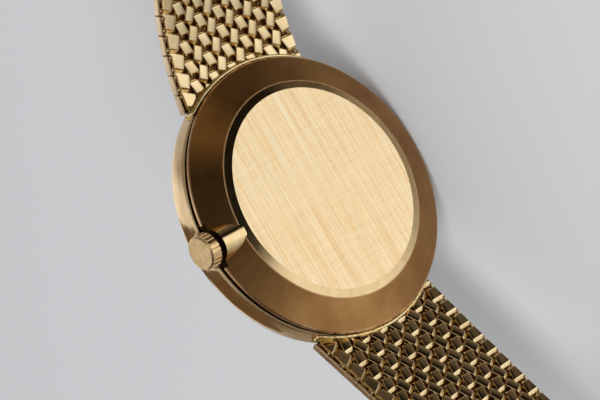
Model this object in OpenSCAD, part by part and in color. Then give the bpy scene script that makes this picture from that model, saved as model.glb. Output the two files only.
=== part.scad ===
// Slim gold dress watch with a pressed-on back and a tapering woven bracelet, open at its clasp.
// Frame: X points to 6 o'clock, Y out of the case back, Z to 3 o'clock and the crown.
// The origin is the centre of the flat disc on the back, so everything towards the dial has y below 0.

/* [Case] */
// Largest radius of the middle case
case_r = 16.2; // [15.6:0.1:18]
// Middle case wall outside the movement bore
case_wall = 2.0; // [1.8:0.1:2.4]
// How far the rim of the back lies inside the middle case
back_inset = 0.2; // [0.1:0.05:0.4]
// Radius of the flat brushed disc on the back
disc_r = 11.58; // [10.5:0.02:12.2]
// Width of the polished bevel round the disc
bevel_w = 0.89; // [0.4:0.01:1]
// Drop of that bevel
bevel_drop = 0.25; // [0.1:0.01:0.4]
// Drop from the disc to the rim of the back
ring_drop = 1.78; // [1.6:0.02:2]
// Height of the rounded rim of the back
rim_h = 0.25; // [0.2:0.01:0.4]
// Height of the shadow groove between back and middle case
groove_h = 0.52; // [0.3:0.01:0.7]
// Thickness of the back
back_t = 0.6; // [0.45:0.05:0.65]
// Depth of the back's pressed-in skirt
skirt_h = 0.8; // [0.5:0.05:0.9]
// Free height for the hands between dial and crystal
hand_room = 1.45; // [1.3:0.05:2.5]
// Thickness of the crystal at its edge
crystal_t = 0.45; // [0.35:0.05:1]
// Rise of the crystal's dome
crystal_dome = 0.25; // [0.1:0.05:0.8]

/* [Crown] */
// Crown radius
crown_r = 1.95; // [1.7:0.05:2.1]
// Crown length
crown_l = 1.3; // [1.2:0.05:1.8]
// Gap between the end face of the tube housing and the crown
crown_gap = 0.75; // [0.4:0.05:0.9]
// Number of flutes on the crown
flutes = 24; // [16:1:30]
// Outer radius of the half-round tube housing on the back
housing_r = 1.9; // [1.7:0.05:2]
// How far the housing's end face lies inside the largest case radius
housing_inset = 0.8; // [0.7:0.05:1]
// Stem radius
stem_r = 0.45; // [0.35:0.01:0.47]
// How far the crown pulls out to set the hands
crown_pull = 0.8; // [0.4:0.05:0.9]

/* [Movement] */
// Width of the movement ring
ring_w = 1.1; // [0.6:0.05:1.2]
// Thickness of the main plate
plate_t = 1.4; // [1.3:0.05:1.8]
// Room for the wheel train between plate and bridges
train_h = 1.0; // [1:0.02:1.2]
// Thickness of the bridges
bridge_t = 0.4; // [0.3:0.02:0.5]
// Dial thickness
dial_t = 0.3; // [0.2:0.02:0.4]
// Length of the hour hand
hour_l = 7.6; // [5:0.1:10]
// Length of the minute hand
minute_l = 11.4; // [8:0.1:13]

/* [Bracelet] */
// Column pitch of the weave at the case
column_pitch = 1.425; // [1.3:0.005:1.5]
// Row pitch of the weave
row_pitch = 2.173; // [2:0.01:2.4]
// Share of its width that the bracelet loses for each millimetre of length
taper = 0.0041; // [0:0.0001:0.0045]
// Brick thickness
brick_t = 1.4; // [1.2:0.05:1.6]
// Lean of the bricks at the case, in degrees
lean = 22; // [16:0.5:24]
// Gap between neighbouring bricks
brick_gap = 0.095; // [0.08:0.005:0.15]
// Radius of the cross pins
pin_r = 0.32; // [0.25:0.01:0.36]
// Rows in one rigid link group
rows_per_group = 4; // [3:1:5]
// Length of the clasp cover
clasp_l = 20; // [14:0.5:24]

/* [Rest pose] */
// Slope of the 12 o'clock half where it leaves the case, in degrees
upper_slope = 13.6; // [5:0.1:25]
// Bend radius of the 12 o'clock half beside the case
upper_bend_r = 30; // [26:1:60]
// Slope of the 6 o'clock half where it leaves the case, in degrees
lower_slope = 25.1; // [5:0.1:28]
// Bend radius of the 6 o'clock half beside the case
lower_bend_r = 900; // [60:10:1200]

/* [Hidden] */
gold = [0.86, 0.70, 0.45];
steel = [0.72, 0.73, 0.75];
brass = [0.80, 0.68, 0.42];
ruby = [0.75, 0.12, 0.25];
rubber = [0.08, 0.08, 0.09];

// Running clearance of hinges and shafts, and seating clearance of fitted pieces
run = 0.03;
fit = 0.05;

// Case radii, from the outside in
back_r = case_r - back_inset;
shoulder_r = case_r - 0.16;
neck_r = case_r - 0.7;
skirt_r = case_r - 1.3;
skirt_t = 0.5;
bore_r = case_r - case_wall;
bevel_r = disc_r + bevel_w;
bezel_bore_r = bore_r - 0.6;
crystal_r = bore_r - 0.2 - fit;
housing_z = case_r - housing_inset;

// Depths of the case, from the back towards the dial
rim_y = -ring_drop;
groove_y = rim_y - rim_h;
seat_y = groove_y - groove_h;
ring_in_y = rim_y + 0.03;
skirt_y = seat_y - skirt_h;

// Depths of the movement
ratchet_y = -back_t - 0.15;
wheel_t = 0.3;
bridge_y = ratchet_y - wheel_t - fit;
train_y = bridge_y - bridge_t;
plate_y = train_y - train_h;
stem_y = plate_y + 0.5;
plate_end_y = plate_y - plate_t;
dial_y = plate_end_y - 0.1;
dial_end_y = dial_y - dial_t;
crystal_y = dial_end_y - hand_room;
case_end_y = crystal_y + 0.15;
bezel_end_y = crystal_y - crystal_t - 0.2;

// Movement radii
mov_r = bore_r - ring_w - 2 * fit;
bridge_r = min(mov_r - 0.6, bevel_r - 0.05);
// Scale of the wheel train's plan, from the room inside the bridges
plan_k = bridge_r / 12.4;
wall_w = 1.0;

// Stem and crown, along the 3 o'clock axis
tube_r = 0.85;
tube_bore_r = stem_r + fit;
tube_z = bore_r + fit;
crown_z = housing_z + fit + crown_gap;
tube_end_z = crown_z + 0.45;
crown_bore_l = 1.0;
crown_end_z = crown_z + crown_l;
groove_z = mov_r - 1.6;
winder_z = groove_z - 2;
stem_z = winder_z - 1;
winder_l = 1.0;

// Tooth counts of the going train and of the motion work, and their modules
barrel_n = 72;
centre_pinion_n = 12;
centre_n = 64;
third_pinion_n = 8;
third_n = 60;
fourth_pinion_n = 8;
fourth_n = 70;
escape_pinion_n = 7;
escape_n = 15;
cannon_n = 12;
minute_n = 36;
minute_pinion_n = 10;
hour_n = 40;
ratchet_n = 44;
crown_wheel_n = 32;
winder_n = 12;
barrel_m = 0.14 * plan_k;
centre_m = 0.125 * plan_k;
third_m = 0.1 * plan_k;
fourth_m = 0.08 * plan_k;
cannon_m = 0.12;
wind_m = 0.12 * plan_k;
hour_m = cannon_m * (cannon_n + minute_n) / (minute_pinion_n + hour_n);
escape_r = 2.2 * plan_k;
balance_r = 3.5 * plan_k;
cock_w = 2 * plan_k;

// Plan places of the arbors, as [x, z], each a meshing distance from the one before
function polar(r, a) = [r * cos(a), r * sin(a)];
function heading(a, b) = atan2(b[1] - a[1], b[0] - a[0]);
function mesh(m, n1, n2) = m * (n1 + n2) / 2;
centre_at = [0, 0];
barrel_at = polar(mesh(barrel_m, barrel_n, centre_pinion_n), 135);
third_at = polar(mesh(centre_m, centre_n, third_pinion_n), -45);
fourth_at = third_at + polar(mesh(third_m, third_n, fourth_pinion_n), -120);
escape_at = fourth_at + polar(mesh(fourth_m, fourth_n, escape_pinion_n), 190);
minute_at = polar(mesh(cannon_m, cannon_n, minute_n), 60);
crown_wheel_at = barrel_at + polar(mesh(wind_m, ratchet_n, crown_wheel_n), 50);
lever_dir = 165;
pallet_at = escape_at + polar(2.9 * plan_k, lever_dir);
balance_at = escape_at + polar(5.2 * plan_k, lever_dir);
cock_dir = 137;
cock_foot_at = balance_at + polar(4.85 * plan_k, cock_dir);
click_at = barrel_at + polar(4.2 * plan_k, 160);
clamp_at = [polar(mov_r - 0.5, 45), polar(mov_r - 0.5, 240)];
feet_at = [polar(mov_r - 2, 80), polar(mov_r - 2, 285)];

// Levels of the wheels, as the y of their upper face
centre_wheel_y = plate_y + 0.23;
third_wheel_y = plate_y + 0.57;
fourth_wheel_y = plate_y + 0.87;
barrel_y = plate_y + 0.78;
escape_wheel_y = plate_y + 0.2;
balance_y = plate_y + 0.88;
spring_y = plate_y + 1.04;
disc_t = 0.12;
barrel_t = 0.48;
cannon_y = plate_end_y + 0.6;
works_y = plate_end_y + 0.65;
hour_wheel_y = plate_end_y + 0.3;
hour_hand_y = dial_end_y - 0.3;
minute_hand_y = dial_end_y - 0.65;
hand_t = 0.12;
arbor_r = 0.22;
pivot_r = 0.12;
cannon_r = 0.42;
hour_pipe_r = 0.72;

// Bracelet layout: twelve columns, numbered from the 9 o'clock edge
columns = 12;
brick_chamfer = 0.25;
rail_w = 0.32;
rail_drop = 0.32;
edge_reach = 1.2;
groups = 7;
path_x = case_r - 1.2;
path_y = seat_y;
trim_r = case_r + fit;
// Each half: distance to its first row, slope, bend radius, length of that bend, bend radius beyond it
upper_first = 2.13;
upper_near_l = 13;
upper_far_r = 56;
lower_first = 2.02;
lower_near_l = 18;
lower_far_r = 43;
upper = [upper_first, upper_slope, upper_bend_r, upper_near_l, upper_far_r];
lower = [lower_first, lower_slope, lower_bend_r, lower_near_l, lower_far_r];

// Point and slope of a half's inner face at the distance s from its start
deg = 180 / PI;
function arc_from(p, a, r, s) = p + r * [sin(a + s / r * deg) - sin(a), cos(a) - cos(a + s / r * deg)];
function path_angle(h, s) = h[1] + (min(s, h[3]) / h[2] + max(s - h[3], 0) / h[4]) * deg;
function path_point(h, s) =
    let (near = arc_from([path_x, path_y], h[1], h[2], min(s, h[3])))
    s <= h[3] ? near : arc_from(near, path_angle(h, h[3]), h[4], s - h[3]);

// Widths and leans of the weave at the distance s, from the gaps that must stay between bricks
function squeeze(s) = 1 - taper * s;
function column_z(j, s) = (j - (columns - 1) / 2) * column_pitch * squeeze(s);
function half_width(s) = ((columns - 1) / 2 * column_pitch + edge_reach) * squeeze(s);
function lean_at(s) = asin(sin(lean) * squeeze(s));
function brick_l(s) = row_pitch * cos(lean_at(s)) - brick_gap;
function brick_w(s) =
    let (c = cos(lean_at(s)), d = sin(lean_at(s)), pitch = column_pitch * squeeze(s))
    (pitch * c + row_pitch * d * (0.5 - c * c) + brick_gap * d * c - brick_gap) / (c * c);
function pin_s(h, k) = h[0] + row_pitch * (k + 0.25);

upper_names = [for (i = [1:groups]) str("upper_links_", i)];
lower_names = [for (i = [1:groups]) str("lower_links_", i)];

// Shared shapes

// Turned piece: a list of [radius, y] points round the Y axis
module lathe(points) {
    rotate([90, 0, 0]) rotate_extrude($fn = 128) polygon([for (p = points) [p[0], -p[1]]]);
}

// Flat piece: a plan in x and z, from the depth y towards the dial
module plan(y, t, at = [0, 0]) {
    translate([at[0], y, at[1]]) rotate([90, 0, 0]) linear_extrude(t) children();
}

// Round post from the depth y down to the depth y_end
module post(r, y, y_end, at = [0, 0]) {
    plan(y, y - y_end, at) circle(r, $fn = 48);
}

// Gear outline with one tooth at the angle phase; add and ded are the tooth's heights in modules
module gear_plan(n, m, phase, add, ded, tooth) {
    r = m * n / 2;
    step = 360 / n;
    polygon([for (i = [0:n - 1], q = [[-0.5, -ded], [-0.24, add], [0.24, add], [0.5, -ded]])
        polar(r + q[1] * m, phase + step * (i + q[0] * tooth))]);
}

// Wheel teeth stand high and pinion leaves are cut deep, so that they run free of each other
module wheel_plan(n, m, phase) {
    gear_plan(n, m, phase, 0.8, 0.9, 0.6);
}
module pinion_plan(n, m, phase) {
    gear_plan(n, m, phase + 180 / n, 0.45, 1.25, 0.55);
}

// Crossed-out wheel: rim, spokes and hub
module spoked(r_rim, r_hub, spokes) {
    difference() {
        children();
        difference() {
            circle(r_rim, $fn = 64);
            circle(r_hub, $fn = 32);
            for (i = [0:spokes - 1]) rotate(i * 360 / spokes) translate([0, -r_hub * 0.35])
                square([r_rim * 1.1, r_hub * 0.7]);
        }
    }
}

// Straight bar in plan from a to b with round ends
module bar_plan(a, b, w) {
    translate(a) circle(w / 2, $fn = 32);
    translate(b) circle(w / 2, $fn = 32);
    translate(a) rotate(heading(a, b)) translate([0, -w / 2]) square([norm(b - a), w]);
}

// Case

module case_back() {
    slot_z = bore_r - 0.3;
    color(gold) difference() {
        union() {
            lathe([
                [0, 0], [disc_r, 0], [bevel_r, -bevel_drop],
                [back_r - 0.1, rim_y + 0.04], [back_r, rim_y - 0.06],
                [back_r, groove_y + 0.06], [back_r - 0.08, groove_y],
                [neck_r, groove_y], [neck_r, seat_y], [skirt_r, seat_y], [skirt_r, skirt_y],
                [skirt_r - skirt_t, skirt_y], [skirt_r - skirt_t, ring_in_y],
                [bevel_r, -bevel_drop - back_t - 0.05], [disc_r - 0.3, -back_t], [0, -back_t]]);
            tube_housing();
        }
        translate([0, stem_y, housing_z]) rotate(45) cylinder(r = crown_r + 0.2, h = 3, $fn = 64);
        translate([0, stem_y, slot_z]) cylinder(r = tube_r + fit, h = case_r - slot_z, $fn = 48);
        translate([-saddle_w / 2 - fit, skirt_y - 1, slot_z])
            cube([saddle_w + 2 * fit, stem_y - skirt_y + 1, case_r - slot_z]);
    }
}

// Half-round swelling of the back over the crown tube
module tube_housing() {
    mid_r = skirt_r - skirt_t / 2;
    intersection() {
        translate([0, stem_y, bevel_r - 0.3])
            cylinder(r = housing_r, h = housing_z - bevel_r + 0.3, $fn = 64);
        lathe([
            [bevel_r - 0.5, 1], [case_r, 1], [case_r, groove_y + 0.08], [neck_r - 0.05, groove_y + 0.08],
            [neck_r - 0.05, seat_y + 0.2], [mid_r, seat_y + 0.2], [mid_r, ring_in_y + 0.3],
            [bevel_r - 0.5, -bevel_drop - back_t / 2]]);
    }
}

saddle_w = 2.1;
bezel_skirt_y = case_end_y + 0.7;

module middle_case() {
    color(gold) difference() {
        union() {
            difference() {
                lathe([
                    [skirt_r + fit, seat_y], [shoulder_r - 0.12, seat_y],
                    [shoulder_r, seat_y - 0.12], [case_r, seat_y - 1.2], [case_r, case_end_y + 1],
                    [case_r - 0.2, case_end_y + 0.4], [case_r - 0.65, case_end_y],
                    [bore_r + 0.6, case_end_y], [bore_r + 0.6, bezel_skirt_y + fit],
                    [bore_r, bezel_skirt_y + fit], [bore_r, skirt_y - fit],
                    [skirt_r + fit, skirt_y - fit]]);
                gasket_ring(0.05);
            }
            translate([-saddle_w / 2, seat_y - 0.4, skirt_r + fit + 0.01])
                cube([saddle_w, stem_y - seat_y + 0.4, housing_z - skirt_r - fit - 0.01]);
        }
        translate([0, stem_y, bore_r - 1]) cylinder(r = tube_r, h = case_r, $fn = 48);
        translate([0, stem_y, housing_z]) cylinder(r = crown_r + 0.2, h = case_r, $fn = 64);
    }
}

// Sealing ring in the step of the middle case, grown on every side by g
module gasket_ring(g) {
    r0 = skirt_r + 0.25;
    lathe([[r0 - g, seat_y + g], [r0 + 0.25 + g, seat_y + g],
        [r0 + 0.25 + g, seat_y - 0.25 - g], [r0 - g, seat_y - 0.25 - g]]);
}
module back_gasket() {
    color(rubber) difference() {
        translate([0, -0.01, 0]) gasket_ring(0);
        translate([0, stem_y, bore_r]) cylinder(r = tube_r + 0.2, h = case_r, $fn = 48);
        translate([-saddle_w / 2 - 0.2, skirt_y, bore_r])
            cube([saddle_w + 0.4, stem_y - skirt_y, case_r]);
    }
}

module bezel() {
    bead_r = crystal_r + fit;
    color(gold) lathe([
        [bezel_bore_r, dial_end_y - fit], [bore_r - 0.1, dial_end_y - fit],
        [bore_r - 0.1, bezel_skirt_y], [bore_r + 0.6 - fit, bezel_skirt_y],
        [bore_r + 0.6 - fit, case_end_y], [case_r - 0.65, case_end_y],
        [case_r - 0.75, case_end_y - 0.35], [bead_r + 0.5, bezel_end_y],
        [bead_r, bezel_end_y], [bead_r, crystal_y], [bezel_bore_r, crystal_y]]);
}

module crystal() {
    edge_y = crystal_y - crystal_t;
    r = crystal_r - 0.12;
    rings = 8;
    color([0.85, 0.92, 0.95, 0.35]) lathe(concat(
        [[0, crystal_y], [crystal_r, crystal_y], [crystal_r, edge_y + 0.1]],
        [for (i = [rings:-1:0]) [r * i / rings, edge_y - crystal_dome * (1 - pow(i / rings, 2))]]));
}

// Dial side

module dial() {
    color([0.93, 0.90, 0.82]) {
        plan(dial_y, dial_t) difference() {
            circle(bore_r - 0.1, $fn = 128);
            circle(hour_pipe_r + 0.1, $fn = 48);
        }
        for (at = feet_at) post(0.35, dial_y + 0.7, dial_y - 0.01, at);
    }
}

module hour_markers() {
    color(gold) for (i = [0:11]) plan(dial_end_y, 0.14) rotate(i * 30)
        translate([bezel_bore_r - 3, -0.22]) square([2.2, 0.44]);
}

// Tapering baton hand; c is the clock angle from 12 o'clock
module hand_plan(l, w, bore, c) {
    difference() {
        rotate(180 - c) union() {
            circle(w * 1.15, $fn = 48);
            polygon([[-w * 2.6, -w / 2], [l, -w / 6], [l, w / 6], [-w * 2.6, w / 2]]);
        }
        circle(bore, $fn = 48);
    }
}
module hour_hand() {
    color(gold) plan(hour_hand_y, hand_t) hand_plan(hour_l, 1, hour_pipe_r, 305);
}
module minute_hand() {
    color(gold) plan(minute_hand_y, hand_t) hand_plan(minute_l, 0.8, cannon_r, 60);
}

module cannon_pinion() {
    color(steel) difference() {
        union() {
            plan(cannon_y, 0.24) pinion_plan(cannon_n, cannon_m, heading(centre_at, minute_at));
            post(cannon_r, cannon_y - 0.2, minute_hand_y - hand_t - 0.1);
        }
        post(arbor_r, cannon_y + 1, minute_hand_y - 1);
    }
}
module minute_wheel() {
    mate = heading(minute_at, centre_at);
    color(brass) difference() {
        union() {
            plan(cannon_y - 0.04, disc_t, minute_at) wheel_plan(minute_n, cannon_m, mate);
            plan(cannon_y - 0.15, 0.45, minute_at) pinion_plan(minute_pinion_n, hour_m, mate);
        }
        post(arbor_r + run, cannon_y + 1, dial_y - 1, minute_at);
    }
}
module hour_wheel() {
    color(brass) difference() {
        union() {
            plan(hour_wheel_y, 0.15) wheel_plan(hour_n, hour_m, heading(centre_at, minute_at));
            post(hour_pipe_r, hour_wheel_y, hour_hand_y - hand_t - 0.1);
        }
        post(cannon_r + run, hour_wheel_y + 1, hour_hand_y - 2);
    }
}

// Plates and bridges

module movement_ring() {
    color(brass) difference() {
        lathe([
            [mov_r + fit, rim_y - 0.17], [bore_r - fit, rim_y - 0.17],
            [bore_r - fit, dial_y + fit], [mov_r + fit, dial_y + fit]]);
        translate([0, stem_y, 0]) cylinder(r = stem_r + 0.15, h = case_r, $fn = 48);
    }
}

// Room for the setting lever to travel with the stem
module lever_slot() {
    translate([-0.95, plate_y - 0.5, groove_z - 0.35])
        cube([1.9, stem_y - plate_y + 0.5 + fit, crown_pull + 0.7]);
}

module main_plate() {
    color(brass) difference() {
        post(mov_r, plate_y, plate_end_y);
        // keyless work
        translate([-1, plate_y - 0.5, winder_z - 0.2]) cube([2, 1, winder_l + 0.4]);
        lever_slot();
        // motion work, from the dial side
        post(hour_m * hour_n / 2 + 0.4, works_y, plate_end_y - 1);
        difference() {
            post(cannon_m * minute_n / 2 + 0.35, works_y, plate_end_y - 1, minute_at);
            post(arbor_r, works_y + 1, plate_end_y + 0.1, minute_at);
        }
        // arbor holes
        post(arbor_r + run, plate_y + 1, plate_end_y - 1);
        post(0.4 + fit, plate_y + 1, plate_y - 0.6, barrel_at);
        for (at = [third_at, fourth_at, escape_at, pallet_at, balance_at])
            post(pivot_r + run, plate_y + 1, plate_y - 0.45, at);
        for (at = concat(screw_places(), clamp_at, [click_at])) post(screw_r, plate_y + 1, plate_y - 0.9, at);
        for (at = pallet_screws()) post(screw_r / 2, plate_y + 1, plate_y - 0.9, at);
        for (at = feet_at) post(0.35 + fit, plate_end_y + 0.9, plate_end_y - 1, at);
    }
}

// Plan areas of the two large bridges
barrel_area = plan_k * [[-13, -0.9], [1.2, -0.9], [1.6, 0.6], [2.4, 13], [-13, 13]];
train_area = plan_k * [[2, 1.2], [13, 1.2], [13, -13], [-2.9, -13], [-2.9, -5.2], [0.2, -5.2], [2, -1.9]];
screw_r = 0.3;
function bridge_screws_at() = [for (a = [105, 150, 178, -6, -85]) polar(bridge_r - 0.5, a)];
function screw_places() = concat(bridge_screws_at(), [cock_foot_at]);
function pallet_screws() = [for (q = [-2.3, 2.3]) pallet_at + polar(q, lever_dir - 90)];

// Bridge with a rim wall that stands on the main plate
module bridge(area) {
    plan(bridge_y, bridge_t) intersection() {
        circle(bridge_r, $fn = 128);
        polygon(area);
    }
    plan(train_y + 0.01, train_h + 0.01) intersection() {
        difference() {
            circle(bridge_r, $fn = 128);
            circle(bridge_r - wall_w, $fn = 128);
        }
        polygon(area);
    }
}

module barrel_bridge() {
    color(steel) difference() {
        bridge(barrel_area);
        translate([0, stem_y, 0]) cylinder(r = stem_r + 0.08, h = case_r, $fn = 48);
        translate([-1, train_y - 1, winder_z - 0.2]) cube([2, 2, winder_l + 0.4]);
        lever_slot();
        post(0.4 + run, 0, plate_y, barrel_at);
        post(0.4 + run, 0, plate_y, crown_wheel_at);
        post(pivot_r + run, 0, plate_y);
        post(jewel_r, 0, bridge_y - jewel_t);
        post(screw_r, 0, plate_y, click_at);
        for (i = [0:2]) post(screw_r + fit, 0, plate_y - 1, bridge_screws_at()[i]);
    }
}
module train_bridge() {
    color(steel) difference() {
        bridge(train_area);
        for (at = [third_at, fourth_at, escape_at]) {
            post(pivot_r + run, 0, plate_y, at);
            post(jewel_r, 0, bridge_y - jewel_t, at);
        }
        for (i = [3, 4]) post(screw_r + fit, 0, plate_y - 1, bridge_screws_at()[i]);
    }
}
pallet_top = 0.42;
module pallet_bridge() {
    top = plate_y + pallet_top;
    t = 0.18;
    ends = pallet_screws();
    color(steel) difference() {
        union() {
            plan(top, t) bar_plan(ends[0], ends[1], 0.8);
            for (at = ends) post(0.4, top - t + 0.01, plate_y, at);
        }
        post(pivot_r + run, 0, plate_y, pallet_at);
        for (at = ends) post(screw_r / 2 + fit, 0, plate_y - 1, at);
    }
}
module balance_cock() {
    color(steel) difference() {
        union() {
            plan(bridge_y, bridge_t - 0.1) bar_plan(cock_foot_at, balance_at, cock_w);
            post(cock_w / 2, bridge_y - 0.1, plate_y, cock_foot_at);
            post(0.2, bridge_y - 0.2, spring_y - disc_t, balance_at + polar(spring_r + 0.3, cock_dir));
        }
        post(pivot_r + run, 0, plate_y, balance_at);
        post(jewel_r, 0, bridge_y - jewel_t, balance_at);
        post(screw_r + fit, 0, plate_y - 1, cock_foot_at);
    }
}

jewel_r = 0.5;
jewel_t = 0.15;
module jewels() {
    color(ruby) for (at = [centre_at, third_at, fourth_at, escape_at, balance_at])
        plan(bridge_y, jewel_t, at) difference() {
            circle(jewel_r, $fn = 48);
            circle(pivot_r + run, $fn = 32);
        }
}

// Slotted screw with its head's underside at the depth y
module screw(at, y, r, head_r, head_t, l) {
    difference() {
        union() {
            post(head_r, y + head_t, y, at);
            post(r, y + 0.01, y - l, at);
        }
        translate([at[0] - head_r - 0.1, y + head_t * 0.5, at[1] - head_r * 0.15])
            cube([head_r * 2 + 0.2, head_t, head_r * 0.3]);
    }
}
module bridge_screws() {
    color(steel) {
        for (at = screw_places()) screw(at, bridge_y, screw_r, 0.5, 0.15, bridge_t + train_h + 0.7);
        for (at = pallet_screws()) screw(at, plate_y + pallet_top, screw_r / 2, 0.3, 0.1, 1);
    }
}
module casing_screws() {
    color(steel) for (at = clamp_at) screw(at, rim_y - 0.17, screw_r, 0.9, 0.2, 1.2);
}

// Going train

// Arbor with thin pivots at both ends
module arbor(at) {
    post(pivot_r, bridge_y - jewel_t + 0.05, plate_y - 0.4, at);
    post(arbor_r * 0.8, train_y - fit, plate_y + fit, at);
}

module barrel() {
    color(brass) difference() {
        plan(barrel_y, barrel_t, barrel_at) wheel_plan(barrel_n, barrel_m, heading(barrel_at, centre_at));
        post(0.4 + fit, 0, plate_y, barrel_at);
    }
}
module centre_wheel() {
    color(brass) {
        plan(centre_wheel_y, 0.15) spoked(centre_n * centre_m / 2 - 0.6, 0.8, 5)
            wheel_plan(centre_n, centre_m, heading(centre_at, third_at));
        plan(barrel_y, barrel_t + 0.08) pinion_plan(centre_pinion_n, barrel_m, heading(centre_at, barrel_at));
        post(pivot_r, bridge_y - jewel_t + 0.05, plate_y);
        post(arbor_r, train_y - fit, minute_hand_y - hand_t - 0.05);
    }
}
module third_wheel() {
    color(brass) {
        arbor(third_at);
        plan(third_wheel_y, disc_t, third_at) spoked(third_n * third_m / 2 - 0.5, 0.6, 4)
            wheel_plan(third_n, third_m, heading(third_at, fourth_at));
        plan(centre_wheel_y + 0.05, 0.25, third_at)
            pinion_plan(third_pinion_n, centre_m, heading(third_at, centre_at));
    }
}
module fourth_wheel() {
    color(brass) {
        arbor(fourth_at);
        plan(fourth_wheel_y, disc_t, fourth_at) spoked(fourth_n * fourth_m / 2 - 0.5, 0.5, 4)
            wheel_plan(fourth_n, fourth_m, heading(fourth_at, escape_at));
        plan(third_wheel_y + 0.05, 0.22, fourth_at)
            pinion_plan(fourth_pinion_n, third_m, heading(fourth_at, third_at));
    }
}
module escape_wheel() {
    step = 360 / escape_n;
    color(steel) {
        arbor(escape_at);
        plan(escape_wheel_y, disc_t, escape_at) spoked(escape_r - 0.75, 0.45, 4)
            polygon([for (i = [0:escape_n - 1], q = [[0, 0.45], [0.35, 0.45], [0.95, 0], [1, 0]])
                polar(escape_r - q[1], step * (i + q[0]))]);
        plan(fourth_wheel_y + 0.05, 0.22, escape_at)
            pinion_plan(escape_pinion_n, fourth_m, heading(escape_at, fourth_at));
    }
}

// Fork between the escape wheel and the balance roller, with its two pallet stones
module pallet_fork() {
    color(steel) {
        post(pivot_r, plate_y + pallet_top - 0.02, plate_y - 0.4, pallet_at);
        plan(escape_wheel_y, disc_t, pallet_at) rotate(lever_dir) union() {
            circle(0.35, $fn = 32);
            translate([0, -0.15]) square([1.35, 0.3]);
            translate([1.25, -0.3]) difference() {
                square([0.42, 0.6]);
                translate([0.15, -0.12 + 0.3]) square([0.5, 0.24]);
            }
            for (q = [-1, 1]) {
                translate([-0.15, q > 0 ? 0 : -1.3]) square([0.3, 1.3]);
                translate([-0.75, q * 1.2 - 0.15]) square([0.9, 0.3]);
            }
        }
    }
}

module balance_wheel() {
    color(brass) {
        post(pivot_r, bridge_y - jewel_t + 0.05, plate_y - 0.4, balance_at);
        post(0.2, spring_y + 0.05, plate_y + 0.25, balance_at);
        plan(balance_y, 0.3, balance_at) spoked(balance_r - 0.4, 0.4, 2) circle(balance_r, $fn = 96);
        plan(plate_y + 0.45, 0.15, balance_at) circle(0.5, $fn = 32);
    }
}

// Flat spiral spring on the balance staff
spring_r = 1.5;
spring_turns = 7;
module hairspring() {
    steps = spring_turns * 20;
    thick = 0.035;
    function coil(i, side) = polar(
        0.3 + (spring_r - 0.3) * i / steps + side * thick, cock_dir + 360 * (i - steps) / 20);
    color([0.25, 0.3, 0.45]) plan(spring_y, 0.1, balance_at) union() {
        polygon(concat([for (i = [0:steps]) coil(i, 1)], [for (i = [steps:-1:0]) coil(i, -1)]));
        difference() {
            circle(0.34, $fn = 32);
            circle(0.2, $fn = 32);
        }
    }
}

// Winding work

module ratchet_wheel() {
    color(steel) {
        plan(ratchet_y, wheel_t, barrel_at) wheel_plan(ratchet_n, wind_m, heading(barrel_at, crown_wheel_at));
        post(0.4, ratchet_y - 0.1, plate_y - 0.5, barrel_at);
    }
}
module crown_wheel() {
    color(steel) {
        plan(ratchet_y, wheel_t, crown_wheel_at) rotate(180 / crown_wheel_n)
            gear_plan(crown_wheel_n, wind_m, heading(crown_wheel_at, barrel_at), 0.5, 1.2, 0.55);
        post(0.4, ratchet_y - 0.1, train_y + 0.05, crown_wheel_at);
    }
}
module click() {
    beak = barrel_at + polar(wind_m * ratchet_n / 2 + 0.35, 178);
    color(steel) {
        plan(ratchet_y, wheel_t) {
            bar_plan(click_at, beak, 0.36);
            translate(click_at) circle(0.45, $fn = 32);
        }
        post(screw_r - run, ratchet_y - 0.1, plate_y + 1, click_at);
    }
}
module winding_pinion() {
    color(steel) difference() {
        translate([0, stem_y, winder_z]) linear_extrude(winder_l)
            gear_plan(winder_n, 0.13, 0, 0.5, 1, 0.6);
        translate([0, stem_y, winder_z - 1]) cylinder(r = stem_r + run, h = winder_l + 2, $fn = 48);
    }
}
module setting_lever() {
    color(steel) difference() {
        translate([-0.8, plate_y - 0.45, groove_z - 0.25]) cube([1.6, stem_y - plate_y + 0.45, 0.5]);
        translate([0, stem_y, groove_z - 1]) cylinder(r = stem_r - 0.15 + run, h = 2, $fn = 48);
    }
}
module stem() {
    color(steel) difference() {
        translate([0, stem_y, stem_z]) cylinder(r = stem_r, h = crown_z + crown_bore_l - stem_z, $fn = 48);
        translate([0, stem_y, groove_z - 0.3]) difference() {
            cylinder(r = 1, h = 0.6, $fn = 48);
            translate([0, 0, -1]) cylinder(r = stem_r - 0.15, h = 3, $fn = 48);
        }
    }
}
module crown_tube() {
    color(gold) difference() {
        translate([0, stem_y, tube_z]) cylinder(r = tube_r, h = tube_end_z - tube_z, $fn = 48);
        translate([0, stem_y, 0]) cylinder(r = tube_bore_r, h = case_r + 5, $fn = 48);
    }
}
module crown() {
    bevel_l = 0.18;
    flute_l = crown_l - bevel_l;
    color(gold) difference() {
        translate([0, stem_y, crown_z]) union() {
            linear_extrude(flute_l) difference() {
                circle(crown_r, $fn = 96);
                for (i = [0:flutes - 1]) rotate((i + 0.5) * 360 / flutes)
                    translate([crown_r + 0.02, 0]) circle(0.1, $fn = 16);
            }
            translate([0, 0, flute_l]) cylinder(r1 = crown_r - 0.06, r2 = crown_r - 0.24, h = bevel_l, $fn = 96);
        }
        translate([0, stem_y, crown_z - 0.1]) cylinder(r = tube_r + 0.1, h = 0.75, $fn = 48);
        translate([0, stem_y, crown_z]) cylinder(r = stem_r, h = crown_bore_l, $fn = 48);
    }
}
module crown_gasket() {
    color(rubber) translate([0, stem_y, crown_z + 0.2]) difference() {
        cylinder(r = tube_r + 0.09, h = 0.2, $fn = 48);
        translate([0, 0, -1]) cylinder(r = tube_r + 0.01, h = 3, $fn = 48);
    }
}

// Bracelet

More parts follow.
